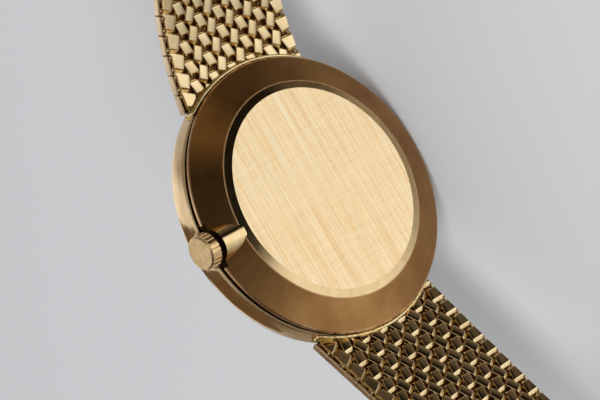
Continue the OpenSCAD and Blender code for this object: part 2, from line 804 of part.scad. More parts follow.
module place(h, s) {
    p = path_point(h, s);
    translate([p[0], p[1], 0]) rotate([0, 0, path_angle(h, s)]) children();
}

// Side view of a brick: flat top at y_top, its two upper edges chamfered
module brick_side(l, y_top, y_low) {
    c = brick_chamfer;
    polygon([[-l / 2 + c, y_top], [l / 2 - c, y_top], [l / 2, y_top - c],
        [l / 2, y_low], [-l / 2, y_low], [-l / 2, y_top - c]]);
}

// Brick of column j centred at s; odd and even columns lean opposite ways
module brick(h, s, j) {
    w = brick_w(s);
    side = j % 2 == 1 ? 1 : -1;
    place(h, s) translate([0, 0, column_z(j, s)]) rotate([0, side * lean_at(s), 0])
        translate([0, 0, -w / 2]) linear_extrude(w) brick_side(brick_l(s), 0, -brick_t);
    if (j == 0 || j == columns - 1) edge_block(h, s, j == 0 ? -1 : 1);
}

// Square outer end, side rail and pin head of an edge brick
module edge_block(h, s, side) {
    e = half_width(s);
    top_w = e - rail_w + 0.02 - abs(column_z(0, s));
    top_l = row_pitch - 0.55;
    place(h, s) mirror([0, 0, side < 0 ? 1 : 0]) {
        translate([0, 0, e - rail_w + 0.02 - top_w]) linear_extrude(top_w)
            brick_side(top_l, 0, -brick_t);
        translate([0, 0, e - rail_w]) linear_extrude(rail_w)
            brick_side(row_pitch - 0.12, -rail_drop, -brick_t);
        translate([top_l / 2 + 0.02, -0.3, e - rail_w - 0.12]) sphere(r = 0.2, $fn = 24);
    }
}

module cross_pin(h, k, grow = 0, reach = 0) {
    s = pin_s(h, k);
    l = 2 * (half_width(s) - 0.15 + reach);
    place(h, s) translate([0, -brick_t / 2, -l / 2]) cylinder(r = pin_r + grow, h = l, $fn = 32);
}

// Rows k0 to k1 of the odd columns and the even columns half a row before each
module weave(h, k0, k1) {
    for (k = [k0:k1]) {
        for (j = [1:2:columns - 1]) brick(h, h[0] + k * row_pitch, j);
        for (j = [0:2:columns - 2]) brick(h, h[0] + (k - 0.5) * row_pitch, j);
        cross_pin(h, k - 0.5);
        cross_pin(h, k);
    }
}

// Link group i of a half; it turns on the last pin of the group before it
module link_group(h, i) {
    k0 = (i - 1) * rows_per_group;
    color(gold) difference() {
        weave(h, k0 + 1, k0 + rows_per_group);
        cross_pin(h, k0, run, 1);
    }
}

// First rows, cut to the round of the case and fixed to it, without the bricks that it hides
module end_row(h) {
    color(gold) difference() {
        union() {
            for (j = [0:columns - 1], k = [-1, 0]) {
                s = h[0] + (k - (j % 2 == 0 ? 0.5 : 0)) * row_pitch;
                if (norm([path_point(h, s)[0], column_z(j, s)]) > trim_r - 0.75) brick(h, s, j);
            }
            for (k = [-1.5:0.5:0]) cross_pin(h, k);
        }
        translate([0, 5, 0]) rotate([90, 0, 0]) cylinder(r = trim_r, h = 20, $fn = 128);
    }
}

module upper_side() {
    mirror([1, 0, 0]) children();
}

// Clasp, in the frame of the last pin of a half
last_k = groups * rows_per_group;
clasp_w = half_width(pin_s(upper, last_k));
clasp_wall = 0.5;
blade_pin_x = clasp_l - 1.4;
blade_t = 0.4;
knuckle_r = pin_r + 0.13;

module even_row(h) {
    for (j = [0:2:columns - 2]) brick(h, h[0] + (last_k + 0.5) * row_pitch, j);
}
module clasp_cover() {
    color(gold) upper_side() difference() {
        union() {
            even_row(upper);
            place(upper, pin_s(upper, last_k)) {
                difference() {
                    translate([1, -brick_t, -clasp_w]) cube([clasp_l - 1, clasp_wall, 2 * clasp_w]);
                    translate([blade_pin_x, -brick_t / 2, -clasp_w + clasp_wall])
                        cylinder(r = knuckle_r + 0.08, h = 2 * (clasp_w - clasp_wall), $fn = 48);
                }
                for (q = [-clasp_w, clasp_w - clasp_wall])
                    translate([1, -brick_t, q]) cube([clasp_l - 1, brick_t, clasp_wall]);
                translate([blade_pin_x, -brick_t / 2, -clasp_w + 0.1])
                    cylinder(r = pin_r, h = 2 * clasp_w - 0.2, $fn = 32);
            }
        }
        cross_pin(upper, last_k, run, 1);
    }
}
module clasp_blade() {
    l = blade_pin_x - 3;
    w = clasp_w - clasp_wall - 0.15;
    color(gold) upper_side() place(upper, pin_s(upper, last_k)) difference() {
        union() {
            translate([blade_pin_x - l, -brick_t / 2 - 0.1, -w * 0.7]) cube([l, blade_t, w * 1.4]);
            translate([blade_pin_x, -brick_t / 2, -w]) cylinder(r = knuckle_r, h = 2 * w, $fn = 32);
            translate([blade_pin_x - l, -brick_t / 2 - 0.1, -w * 0.3]) cube([0.5, 1, w * 0.6]);
        }
        translate([blade_pin_x, -brick_t / 2, -w - 1])
            cylinder(r = pin_r + run, h = 2 * w + 2, $fn = 32);
    }
}
module catch_bar() {
    w = half_width(pin_s(lower, last_k));
    color(gold) difference() {
        union() {
            even_row(lower);
            place(lower, pin_s(lower, last_k)) {
                for (q = [-w, w - 0.6]) translate([1, -brick_t + 0.2, q]) cube([4, brick_t - 0.4, 0.6]);
                translate([1, -brick_t + 0.2, -w]) cube([0.5, brick_t - 0.4, 2 * w]);
                translate([4.4, -brick_t / 2, -w + 0.1]) cylinder(r = 0.5, h = 2 * w - 0.2, $fn = 32);
            }
        }
        cross_pin(lower, last_k, run, 1);
    }
}

middle_case();
case_back();
back_gasket();
bezel();
crystal();
dial();
hour_markers();
hour_hand();
minute_hand();
movement_ring();
main_plate();
barrel_bridge();
train_bridge();
pallet_bridge();
balance_cock();
barrel();
ratchet_wheel();
crown_wheel();
click();
centre_wheel();
cannon_pinion();
minute_wheel();
hour_wheel();
third_wheel();
fourth_wheel();
escape_wheel();
pallet_fork();
balance_wheel();
hairspring();
jewels();
bridge_screws();
casing_screws();
crown_tube();
stem();
crown();
crown_gasket();
winding_pinion();
setting_lever();
upper_side() end_row(upper);  // upper_end_row
end_row(lower);  // lower_end_row
for (i = [1:groups]) upper_side() link_group(upper, i);
for (i = [1:groups]) link_group(lower, i);
clasp_cover();
clasp_blade();
catch_bar();
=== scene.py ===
import math
import random
from collections import namedtuple

import bmesh
import bpy
from mathutils import Matrix, Vector


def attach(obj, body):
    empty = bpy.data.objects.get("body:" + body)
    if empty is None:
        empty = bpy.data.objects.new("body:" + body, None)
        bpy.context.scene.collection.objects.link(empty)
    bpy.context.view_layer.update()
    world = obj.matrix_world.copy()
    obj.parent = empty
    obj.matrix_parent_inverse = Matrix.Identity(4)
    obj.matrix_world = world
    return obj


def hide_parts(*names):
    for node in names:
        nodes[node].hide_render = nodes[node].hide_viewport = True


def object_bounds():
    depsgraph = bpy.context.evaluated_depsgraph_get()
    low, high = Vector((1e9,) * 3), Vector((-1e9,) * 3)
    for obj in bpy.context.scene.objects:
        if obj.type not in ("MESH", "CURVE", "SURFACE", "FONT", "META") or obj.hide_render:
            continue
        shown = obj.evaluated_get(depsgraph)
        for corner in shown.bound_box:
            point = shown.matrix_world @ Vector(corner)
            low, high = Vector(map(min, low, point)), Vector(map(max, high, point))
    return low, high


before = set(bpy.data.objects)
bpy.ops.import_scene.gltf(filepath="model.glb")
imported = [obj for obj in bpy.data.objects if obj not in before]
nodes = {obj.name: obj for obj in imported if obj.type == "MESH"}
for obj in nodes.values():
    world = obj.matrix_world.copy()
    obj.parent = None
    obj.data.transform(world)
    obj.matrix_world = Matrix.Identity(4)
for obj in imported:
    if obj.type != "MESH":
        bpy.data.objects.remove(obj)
cad_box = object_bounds()
MM = 0.001
random.seed(7)

# The photograph's camera, in the watch's frame: right, up and towards the viewer, then its place in
# millimetres, its lens and the width of its sensor
RIGHT = Vector((0.4969, 0.5305, -0.6867))
UP = Vector((-0.8668, 0.3409, -0.3638))
TOWARDS = Vector((0.0411, 0.7761, 0.6293))
CAMERA_AT = Vector((14.27, 269.77, 222.55))
LENS = 194.75
SENSOR_W = 36


# Node helpers
class Nodes:
    """Builds the nodes of one material, or of the world."""

    def __init__(self, name, world=False):
        if world:
            self.owner = bpy.data.worlds.new(name)
        else:
            self.owner = bpy.data.materials.new(name)
        self.owner.use_nodes = True
        self.tree = self.owner.node_tree
        self.tree.nodes.clear()

    def add(self, kind, inputs=None, **settings):
        node = self.tree.nodes.new(kind)
        for key, value in settings.items():
            setattr(node, key, value)
        for key, value in (inputs or {}).items():
            if isinstance(value, bpy.types.NodeSocket):
                self.tree.links.new(value, node.inputs[key])
            else:
                node.inputs[key].default_value = value
        return node

    def math(self, op, a, b=0.0):
        return self.add("ShaderNodeMath", {0: a, 1: b}, operation=op).outputs[0]

    def product(self, first, *others):
        for value in others:
            first = self.math("MULTIPLY", first, value)
        return first

    def blend(self, *parts):
        """Sum of values, each given with its weight."""
        terms = [self.math("MULTIPLY", value, weight) for value, weight in parts]
        total = terms[0]
        for term in terms[1:]:
            total = self.math("ADD", total, term)
        return total

    def less(self, a, b):
        return self.math("LESS_THAN", a, b)

    def more(self, a, b):
        return self.math("GREATER_THAN", a, b)

    def noise(self, vector, scale, detail=3.0, rough=0.55):
        inputs = {"Vector": vector, "Scale": scale, "Detail": detail, "Roughness": rough}
        return self.add("ShaderNodeTexNoise", inputs).outputs["Fac"]

    def object_place(self):
        return self.add("ShaderNodeTexCoord").outputs["Object"]

    def coords(self, scale=(1, 1, 1), rotation=(0, 0, 0)):
        inputs = {"Vector": self.object_place(), "Scale": scale, "Rotation": rotation}
        return self.add("ShaderNodeMapping", inputs).outputs["Vector"]

    def split(self, vector):
        return self.add("ShaderNodeSeparateXYZ", {"Vector": vector}).outputs

    def split_mm(self, vector):
        axes = self.split(vector)
        return [self.math("MULTIPLY", axes[i], 1000.0) for i in range(3)]

    def radius(self, x, z):
        return self.math("SQRT", self.math("ADD", self.math("MULTIPLY", x, x), self.math("MULTIPLY", z, z)))

    def rays(self, x, z, r, inverse, along):
        """Streaks that run outwards from the axis."""
        inputs = {0: self.math("MULTIPLY", x, inverse), 1: self.math("MULTIPLY", z, inverse),
                  2: self.math("MULTIPLY", r, along)}
        return self.noise(self.add("ShaderNodeCombineXYZ", inputs).outputs[0], 1.0, 3.0, 0.7)

    def ramp(self, fac, *stops):
        node = self.add("ShaderNodeValToRGB", {"Fac": fac})
        elements = node.color_ramp.elements
        for element, (position, colour) in zip(elements, stops):
            element.position = position
            element.color = (*colour, 1)
        for position, colour in stops[len(elements):]:
            elements.new(position).color = (*colour, 1)
        return node.outputs["Color"]

    def mix(self, fac, a, b):
        return self.mixed("RGBA", 2, (0, fac), (6, a), (7, b))

    def mix_value(self, fac, a, b):
        return self.mixed("FLOAT", 0, (0, fac), (2, a), (3, b))

    def mixed(self, kind, result, *links):
        node = self.add("ShaderNodeMix", data_type=kind)
        for i, value in links:
            self.tree.links.new(value, node.inputs[i])
        return node.outputs[result]

    def span(self, value, low, high, out_low=0.0, out_high=1.0, smooth=True):
        inputs = {"Value": value, "From Min": low, "From Max": high, "To Min": out_low, "To Max": out_high}
        kind = "SMOOTHSTEP" if smooth else "LINEAR"
        return self.add("ShaderNodeMapRange", inputs, interpolation_type=kind).outputs["Result"]

    def bump(self, height, strength, distance):
        inputs = {"Height": height, "Strength": strength, "Distance": distance}
        return self.add("ShaderNodeBump", inputs).outputs["Normal"]

    def rounded(self, radius):
        return self.add("ShaderNodeBevel", {"Radius": radius}, samples=8).outputs[0]

    def surface(self, kind, inputs):
        shader = self.add(kind, inputs)
        self.add("ShaderNodeOutputMaterial", {"Surface": shader.outputs["BSDF"]})
        return self.owner

    def metallic(self, colour, rough, normal, metallic=1.0):
        inputs = {"Base Color": colour, "Metallic": metallic, "Roughness": rough, "Normal": normal}
        return self.surface("ShaderNodeBsdfPrincipled", inputs)


def metal(name, low, high, rough, bump=0.02):
    """Metal whose colour wanders between two tones."""
    m = Nodes(name)
    p = m.coords()
    tone = m.noise(p, 350.0, 4.0)
    lines = m.noise(p, 2200.0, 3.0)
    colour = m.ramp(tone, (0.3, low), (0.7, high))
    r = m.span(lines, 0.3, 0.7, rough * 0.8, rough * 1.25)
    return m.metallic(colour, r, m.bump(lines, bump, 0.00002))


def plain(name, low, high, rough):
    """Surface with a fine mottle between two tones."""
    m = Nodes(name)
    colour = m.ramp(m.noise(m.coords(), 500.0, 4.0), (0.35, low), (0.65, high))
    return m.surface("ShaderNodeBsdfPrincipled", {"Base Color": colour, "Metallic": 0.0, "Roughness": rough})


def back_gold(disc_r, bevel_r, rim_r, rim_y, housing_r):
    """The back: brushed disc, polished bevel, brushed ring whose dark brown is painted shade, polished rim
    with a painted reddish reflection on its wall, and tube housing; also a painted highlight on the bevel's
    edge and painted shade in the groove and the crown's notch.
    """
    m = Nodes("back_gold")
    at = m.object_place()
    x, y, z = m.split_mm(at)
    r = m.radius(x, z)
    off_axis = m.math("ABSOLUTE", x)
    disc = m.less(r, disc_r)
    # The housing stands proud of the ring's slope
    bevel_foot_y = -0.22
    slope = m.span(r, bevel_r, rim_r, bevel_foot_y, rim_y + 0.06, smooth=False)
    proud = m.product(m.less(off_axis, housing_r), m.more(z, 0.0), m.more(y, slope))
    level_part = m.math("SUBTRACT", 1.0, proud)
    ring = m.product(m.more(r, bevel_r), m.less(r, rim_r), m.more(y, rim_y), level_part)
    # Straight brushing of the disc: fine lines in broad soft bands, with a few scratches that cross them
    fine = m.noise(m.coords((90, 90, 14000)), 1.0, 2.0, 0.7)
    broad = m.noise(m.coords((40, 40, 2600)), 1.0, 4.0, 0.7)
    cross = m.noise(m.coords((9000, 60, 160), (0, math.radians(12), 0)), 1.0, 2.0, 0.6)
    grain = m.blend((fine, 0.5), (broad, 0.34), (cross, 0.16))
    disc_tone = m.ramp(grain, (0.40, (0.76, 0.48, 0.22)), (0.5, (1.0, 0.77, 0.45)), (0.6, (1.0, 0.90, 0.65)))
    # Streaks of the ring run outwards from the middle
    rays = m.rays(x, z, r, m.math("DIVIDE", 260.0, r), 0.25)
    ring_grain = m.blend((rays, 0.3), (m.noise(at, 180.0, 3.0), 0.7))
    # The ring's brushing is its own; its dark brown, darker than the rest of the back's gold, is painted
    # shade for the dark surroundings it mirrors
    ring_shaded_tone = m.ramp(ring_grain, (0.36, (0.41, 0.208, 0.072)), (0.64, (0.58, 0.325, 0.123)))
    soft = m.noise(at, 900.0, 4.0)
    bright_tone = m.ramp(soft, (0.35, (0.80, 0.59, 0.30)), (0.65, (0.90, 0.70, 0.40)))
    colour = m.mix(ring, m.mix(disc, bright_tone, disc_tone), ring_shaded_tone)
    smooth_rough = m.mix_value(disc, m.span(soft, 0.3, 0.7, 0.08, 0.14), m.span(fine, 0.3, 0.7, 0.24, 0.38))
    rough = m.mix_value(ring, smooth_rough, m.span(rays, 0.3, 0.7, 0.28, 0.38))
    height = m.mix_value(ring, m.mix_value(disc, soft, fine), rays)
    depth = m.mix_value(ring, m.math("MULTIPLY", disc, 0.4), m.math("MULTIPLY", ring, 0.06))
    # Painted highlight on the edge between bevel and ring, painted reddish reflection on the rim's wall, and
    # painted shade in the groove and the crown's notch
    highlight_w, groove_drop, notch_w, notch_z = 0.07, 0.27, 2.55, 15.36
    off_line = m.math("ABSOLUTE", m.math("SUBTRACT", r, bevel_r))
    edge_highlight = m.product(m.less(off_line, highlight_w), level_part)
    wall = m.more(r, rim_r)
    notch = m.product(m.less(off_axis, notch_w), m.more(z, notch_z))
    recess_shade = m.math("MAXIMUM", m.less(y, rim_y - groove_drop), notch)
    # Painted highlight: a brighter tone along the bevel's outer edge
    edge_highlight_tone = m.ramp(soft, (0.3, (0.95, 0.60, 0.30)), (0.7, (1.0, 0.72, 0.40)))
    # Painted reflection: the reddish copper tone on the rim's wall stands in for the reddish brown it mirrors
    wall_reflection_tone = m.ramp(soft, (0.3, (0.74, 0.45, 0.24)), (0.7, (0.88, 0.58, 0.33)))
    # Painted shade: near-black brown in the groove under the rim and in the crown's notch
    painted_shade_tone = m.ramp(soft, (0.3, (0.05, 0.022, 0.008)), (0.7, (0.09, 0.045, 0.018)))
    colour = m.mix(edge_highlight, colour, edge_highlight_tone)
    colour = m.mix(wall, colour, wall_reflection_tone)
    colour = m.mix(recess_shade, colour, painted_shade_tone)
    rough = m.math("ADD", rough, m.math("MULTIPLY", m.math("MAXIMUM", edge_highlight, recess_shade), 0.45))
    brushed = m.bump(m.math("MULTIPLY", height, depth), 0.6, 0.00003)
    return m.metallic(colour, rough, m.mix(wall, brushed, m.rounded(0.0005)))


def flank_gold(shoulder_r, seat_y):
    """Polished flank with a painted highlight on its shoulder; the floor of the shadow groove beside it is
    painted dark as shade.
    """
    m = Nodes("flank_gold")
    at = m.object_place()
    x, y, z = m.split_mm(at)
    r = m.radius(x, z)
    edge_w, floor_depth = 0.14, 0.03
    shaded_groove_floor = m.product(m.more(y, seat_y - floor_depth), m.less(r, shoulder_r - edge_w))
    edge = m.product(m.more(y, seat_y - edge_w), m.more(r, shoulder_r - edge_w))
    soft = m.noise(at, 700.0, 4.0)
    tone = m.ramp(soft, (0.3, (0.80, 0.57, 0.32)), (0.7, (0.90, 0.68, 0.42)))
    # Painted highlight: a brighter tone on the shoulder's edge
    shoulder_highlight_tone = m.ramp(soft, (0.3, (0.98, 0.74, 0.42)), (0.7, (1.0, 0.82, 0.52)))
    # Painted shade on the floor of the groove
    painted_shade_tone = m.ramp(soft, (0.3, (0.04, 0.018, 0.007)), (0.7, (0.08, 0.04, 0.016)))
    colour = m.mix(shaded_groove_floor, m.mix(edge, tone, shoulder_highlight_tone), painted_shade_tone)
    duller = m.math("MULTIPLY", m.math("MAXIMUM", edge, shaded_groove_floor), 0.35)
    rough = m.math("ADD", m.span(soft, 0.3, 0.7, 0.10, 0.15), duller)
    return m.metallic(colour, rough, m.rounded(0.0007))


def striped(name, low, high, pitch):
    """Plated bridge with broad turned stripes."""
    m = Nodes(name)
    turned = (0, math.radians(35), 0)
    inputs = {"Vector": m.coords((1, 1, 1), turned), "Scale": pitch, "Distortion": 0.3}
    wave = m.add("ShaderNodeTexWave", inputs, bands_direction="X", wave_profile="SAW")
    fine = m.noise(m.coords((400, 400, 9000), turned), 1.0, 2.0)
    tone = m.blend((wave.outputs["Fac"], 0.6), (fine, 0.4))
    return m.metallic(m.ramp(tone, (0.2, low), (0.8, high)), 0.28, m.bump(tone, 0.2, 0.00003))


def sunburst(name, low, high):
    """Dial with fine brushing that runs out from its middle."""
    m = Nodes(name)
    axes = m.split(m.object_place())
    x, z = axes[0], axes[2]
    r = m.radius(x, z)
    rays = m.rays(x, z, r, m.math("DIVIDE", 60.0, m.math("MAXIMUM", r, 0.0005)), 40.0)
    return m.metallic(m.ramp(rays, (0.3, low), (0.7, high)), 0.34, m.bump(rays, 0.15, 0.00002), 0.75)


def clear(name):
    """Clear crystal with a faint unevenness."""
    m = Nodes(name)
    r = m.span(m.noise(m.coords(), 300.0, 3.0), 0.3, 0.7, 0.0, 0.03)
    inputs = {"Base Color": (0.97, 0.98, 0.98, 1), "Roughness": r, "Transmission Weight": 1.0, "IOR": 1.5}
    return m.surface("ShaderNodeBsdfPrincipled", inputs)


gold = metal("polished_gold", (0.80, 0.59, 0.30), (0.90, 0.70, 0.40), 0.13)
link_gold = metal("link_gold", (0.82, 0.62, 0.33), (0.94, 0.76, 0.46), 0.12)
knurl_gold = metal("crown_gold", (0.75, 0.53, 0.26), (0.87, 0.65, 0.36), 0.22)
seam_gold = metal("seam_gold", (1.0, 0.74, 0.34), (1.0, 0.86, 0.50), 0.34, bump=0.12)
rail_gold = metal("rail_gold", (0.84, 0.64, 0.40), (0.94, 0.75, 0.51), 0.34)
# Near-black gold that paints shade into the bracelet's feet and webs and onto the crown's tube
shade_gold = metal("painted_shade_gold", (0.13, 0.06, 0.02), (0.26, 0.14, 0.05), 0.4)
case_gold = back_gold(11.58, 12.5, 15.78, -1.74, 1.92)
side_gold = flank_gold(16.04, -2.55)
rhodium = striped("rhodium", (0.55, 0.55, 0.56), (0.80, 0.80, 0.80), 350.0)
steel = metal("steel", (0.42, 0.42, 0.43), (0.62, 0.62, 0.62), 0.2)
blued = metal("blued_steel", (0.02, 0.03, 0.12), (0.05, 0.09, 0.28), 0.18)
brass = metal("wheel_brass", (0.62, 0.44, 0.18), (0.78, 0.60, 0.30), 0.24)
ruby = plain("ruby", (0.35, 0.01, 0.05), (0.55, 0.03, 0.10), 0.08)
rubber = plain("rubber", (0.012, 0.012, 0.013), (0.03, 0.03, 0.03), 0.6)
dial_face = sunburst("dial", (0.66, 0.58, 0.42), (0.86, 0.79, 0.62))
crystal = clear("crystal")

# Bracelet layout in millimetres; columns, pitches, lean and thickness are those of the solids
COLUMNS, COLUMN_PITCH, ROW_PITCH = 12, 1.425, 2.173
ROWS, GROUPS = 4, 7
TAPER = 0.0041
LEAN = math.radians(22)
GAP, BRICK_T, PIN_R = 0.095, 1.4, 0.32
# Bricks: crown of the top, depth of the body, the foot below it, painted dark as shade, and how much they
# outgrow the solids'
CROWN, EDGE_CROWN, BODY_T, BRICK_ROUND = 0.035, 0.004, 0.8, 0.07
FOOT_DROP, FOOT_GROW = 0.62, 0.24
LONGER, WIDER = 0.09, 0.08
# Rails: reach of the edge from the outer columns' middle, width, drops, and the channel beside the bricks
EDGE_REACH, EDGE_GROW = 1.2, 0.7
RAIL_W, RAIL_DROP, RAIL_LIFT, RAIL_ROUND, CHANNEL = 0.25, 0.52, 0.17, 0.1, 0.14
WEB_DROP, WEB_LIFT, WEB_INSET = 1.0, 0.1, 0.1
HEAD_R, HEAD_BACK, HEAD_DROP, HEAD_INSET = 0.2, 0.25, 0.3, 0.1
# The weave is trimmed round the case; bricks whose middle lies much inside that are left out
TRIM_R, TRIM_SLACK = 16.38, 0.95
# Bricks sit a little unevenly, by up to these angles
SWAY_X, SWAY_Z = 1.3, 1.0
# Material slots of a piece: its own gold, the painted shade of the recesses, the rails
RECESS_SHADE_SLOT, RAIL_SLOT = 1, 2
# Turns a brick over, onto the outer face of the bracelet
OTHER_FACE = Matrix.Translation((0, -BRICK_T, 0)) @ Matrix.Diagonal((1, -1, 1, 1))
# Length and drop of the chamfers at the two ends of a brick: the long one faces 6 o'clock
ENDS = ((0.22, 0.2), (0.38, 0.32))
# Slant of the ends of the even and of the odd columns' bricks
SLANT = (0.42, 0.12)
# A half starts at a length along its path, tilts at the case, bends in two arcs, lies on one side in X,
# and has its seam's top at seam_y
Half = namedtuple("Half", "start tilt near_r near_l far_r side seam_y")
HALVES = {
    "upper": Half(2.13, math.radians(13.6), 30.0, 13.0, 56.0, -1, -2.11),
    "lower": Half(2.02, math.radians(25.1), 900.0, 18.0, 43.0, 1, -2.18),
}
PATH_START = (15.0, -2.55)
# Cross-section of the seam's collar: radius and drop below its top, from the case outwards; and its height
SEAM_PROFILE = ((16.03, 0.1), (16.05, 0.03), (16.1, 0), (16.2, -0.01), (16.3, 0.01), (16.36, 0.05),
                (16.38, 0.15), (16.38, 0.7), (16.5, 0.7))
SEAM_H, SEAM_STEPS, SEAM_INSET = 1.4, 160, 0.15
# Where the seam's height is measured, and how much of the half's tilt it follows
SEAM_R, SEAM_FALL = 16.25, 0.55


def path_angle(h, s):
    return h.tilt + min(s, h.near_l) / h.near_r + max(s - h.near_l, 0) / h.far_r


def arc_from(p, a, r, s):
    return (p[0] + r * (math.sin(a + s / r) - math.sin(a)), p[1] + r * (math.cos(a) - math.cos(a + s / r)))


def path_point(h, s):
    near = arc_from(PATH_START, h.tilt, h.near_r, min(s, h.near_l))
    return near if s <= h.near_l else arc_from(near, path_angle(h, h.near_l), h.far_r, s - h.near_l)


def squeeze(s):
    return 1 - TAPER * s


def column_z(j, s):
    return (j - (COLUMNS - 1) / 2) * COLUMN_PITCH * squeeze(s)


def half_width(s):
    return ((COLUMNS - 1) / 2 * COLUMN_PITCH + EDGE_REACH) * squeeze(s)


def lean_at(s):
    return math.asin(math.sin(LEAN) * squeeze(s))


def brick_l(s):
    return ROW_PITCH * math.cos(lean_at(s)) - GAP


def brick_w(s):
    c, d, pitch = math.cos(lean_at(s)), math.sin(lean_at(s)), COLUMN_PITCH * squeeze(s)
    return (pitch * c + ROW_PITCH * d * (0.5 - c * c) + GAP * d * c - GAP) / (c * c)


def place(h, s):
    """Local x outwards along the half, y out of its inner face, z along the pins."""
    x, y = path_point(h, s)
    m = Matrix.Translation((x, y, 0)) @ Matrix.Rotation(path_angle(h, s), 4, "Z")
    return Matrix.Diagonal((h.side, 1, 1, 1)) @ m


def pour(bm, other):
    """Copies the other shape into this one."""
    mesh = bpy.data.meshes.new("poured")
    other.to_mesh(mesh)
    other.free()
    bm.from_mesh(mesh)
    bpy.data.meshes.remove(mesh)


def paint(bm, slot):
    for face in bm.faces:
        face.material_index = slot
    return bm


class Pile:
    """Collects small shapes, given in millimetres, into one mesh in metres."""

    def __init__(self):
        self.bm = bmesh.new()

    def put(self, shape, matrix, cuts=()):
        """Adds a copy of the shape; each cut keeps what lies beyond its plane and closes the hole."""
        new = shape.copy()
        new.transform(matrix)
        if matrix.determinant() < 0:
            bmesh.ops.reverse_faces(new, faces=new.faces)
        for at, normal in cuts:
            geom = list(new.verts) + list(new.edges) + list(new.faces)
            bmesh.ops.bisect_plane(new, geom=geom, plane_co=at, plane_no=normal, clear_inner=True)
            rim = [e for e in new.edges if e.is_boundary]
            if rim:
                bmesh.ops.holes_fill(new, edges=rim)
            for e in rim:
                e.smooth = False
        pour(self.bm, new)

    def finish(self, name, material, slot, body, *replaced):
        self.bm.transform(Matrix.Scale(MM, 4))
        mesh = bpy.data.meshes.new(name)
        self.bm.to_mesh(mesh)
        self.bm.free()
        for q in mesh.polygons:
            q.use_smooth = True
        o = bpy.data.objects.new(name, mesh)
        bpy.context.collection.objects.link(o)
        for finish in (material, shade_gold, rail_gold):
            mesh.materials.append(finish)
        o.modifiers.new("normals", "WEIGHTED_NORMAL").keep_sharp = True
        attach(o, body)
        if replaced:
            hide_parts(*replaced)


def rectangle(x_low, x_high, z_low, z_high):
    return [(x_low, z_low), (x_high, z_low), (x_high, z_high), (x_low, z_high)]


def bridge(bm, rings):
    """Faces between each ring of vertices and the next."""
    for a, b in zip(rings, rings[1:]):
        for i in range(len(a)):
            j = (i + 1) % len(a)
            bm.faces.new((a[i], a[j], b[j], b[i]))


def prism(outline, top, bottom):
    """Solid with one outline of (x, z) points between the heights top and bottom."""
    bm = bmesh.new()
    rings = [[bm.verts.new((x, y, z)) for x, z in outline] for y in (top, bottom)]
    bridge(bm, rings)
    bm.faces.new(rings[0][::-1])
    bm.faces.new(rings[-1])
    bmesh.ops.recalc_face_normals(bm, faces=bm.faces)
    return bm


def soften(bm, width, keep=lambda e: True):
    edges = [e for e in bm.edges if keep(e)]
    bmesh.ops.bevel(bm, geom=edges, offset=width, segments=3, profile=0.5, affect="EDGES", clamp_overlap=True)
    return bm


def brick_shape(l, w, slant, ends, reach=0.0):
    """Brick with a crowned top, chamfered ends and a wide foot; reach widens it towards the rail."""
    bm = bmesh.new()
    across = (-0.5, -0.25, 0, 0.25, 0.5)
    (inner_l, inner_drop), (outer_l, outer_drop) = ends
    sides = (-w / 2 + min(reach, 0), w / 2 + max(reach, 0))
    profile = ((-l / 2, inner_drop), (-l / 2 + inner_l, 0), (l / 2 - outer_l, 0), (l / 2, outer_drop))
    crown = EDGE_CROWN if reach else CROWN
    rows = [[bm.verts.new((x, -drop - crown * (2 * u) ** 2, (0.5 - u) * sides[0] + (0.5 + u) * sides[1]))
             for u in across] for x, drop in profile]
    foot = [[bm.verts.new((x, -BODY_T, z)) for z in sides] for x in (-l / 2, l / 2)]
    for p, q in zip(rows, rows[1:]):
        for i in range(len(across) - 1):
            bm.faces.new((p[i], p[i + 1], q[i + 1], q[i]))
    bm.faces.new((*rows[0], foot[0][1], foot[0][0]))
    bm.faces.new((*rows[-1], foot[1][1], foot[1][0]))
    for i in (0, 1):
        bm.faces.new((*[r[-i] for r in rows], foot[1][i], foot[0][i]))
    bm.faces.new((foot[0][0], foot[0][1], foot[1][1], foot[1][0]))
    for v in bm.verts:
        v.co.x += slant * v.co.z
    bmesh.ops.recalc_face_normals(bm, faces=bm.faces)
    above_foot, sharp = -BODY_T + 0.05, 0.3
    soften(bm, BRICK_ROUND,
           lambda e: e.calc_face_angle(0) > sharp and all(v.co.y > above_foot for v in e.verts))
    x, z = l / 2 + FOOT_GROW, w / 2 + FOOT_GROW
    # The foot is painted dark, as shade
    pour(bm, paint(prism(rectangle(-x, x, -z, z), -FOOT_DROP, FOOT_DROP - BRICK_T), RECESS_SHADE_SLOT))
    return bm


def rail_shape(s):
    """Side rail of one row with the web behind it, painted dark as shade; its sides run with the narrowing
    bracelet.
    """
    e = half_width(s)
    l = (ROW_PITCH - 0.02) / 2
    bm = soften(prism(rectangle(-l, l, e - RAIL_W, e), -RAIL_DROP, -BRICK_T + RAIL_LIFT), RAIL_ROUND)
    paint(bm, RAIL_SLOT)
    web = rectangle(-l, l, e - RAIL_W - CHANNEL - WEB_INSET, e - WEB_INSET)
    # The web is painted dark, as shade
    pour(bm, paint(prism(web, -WEB_DROP, -BRICK_T + WEB_LIFT), RECESS_SHADE_SLOT))
    for v in bm.verts:
        v.co.z -= v.co.x * e * TAPER
    return bm


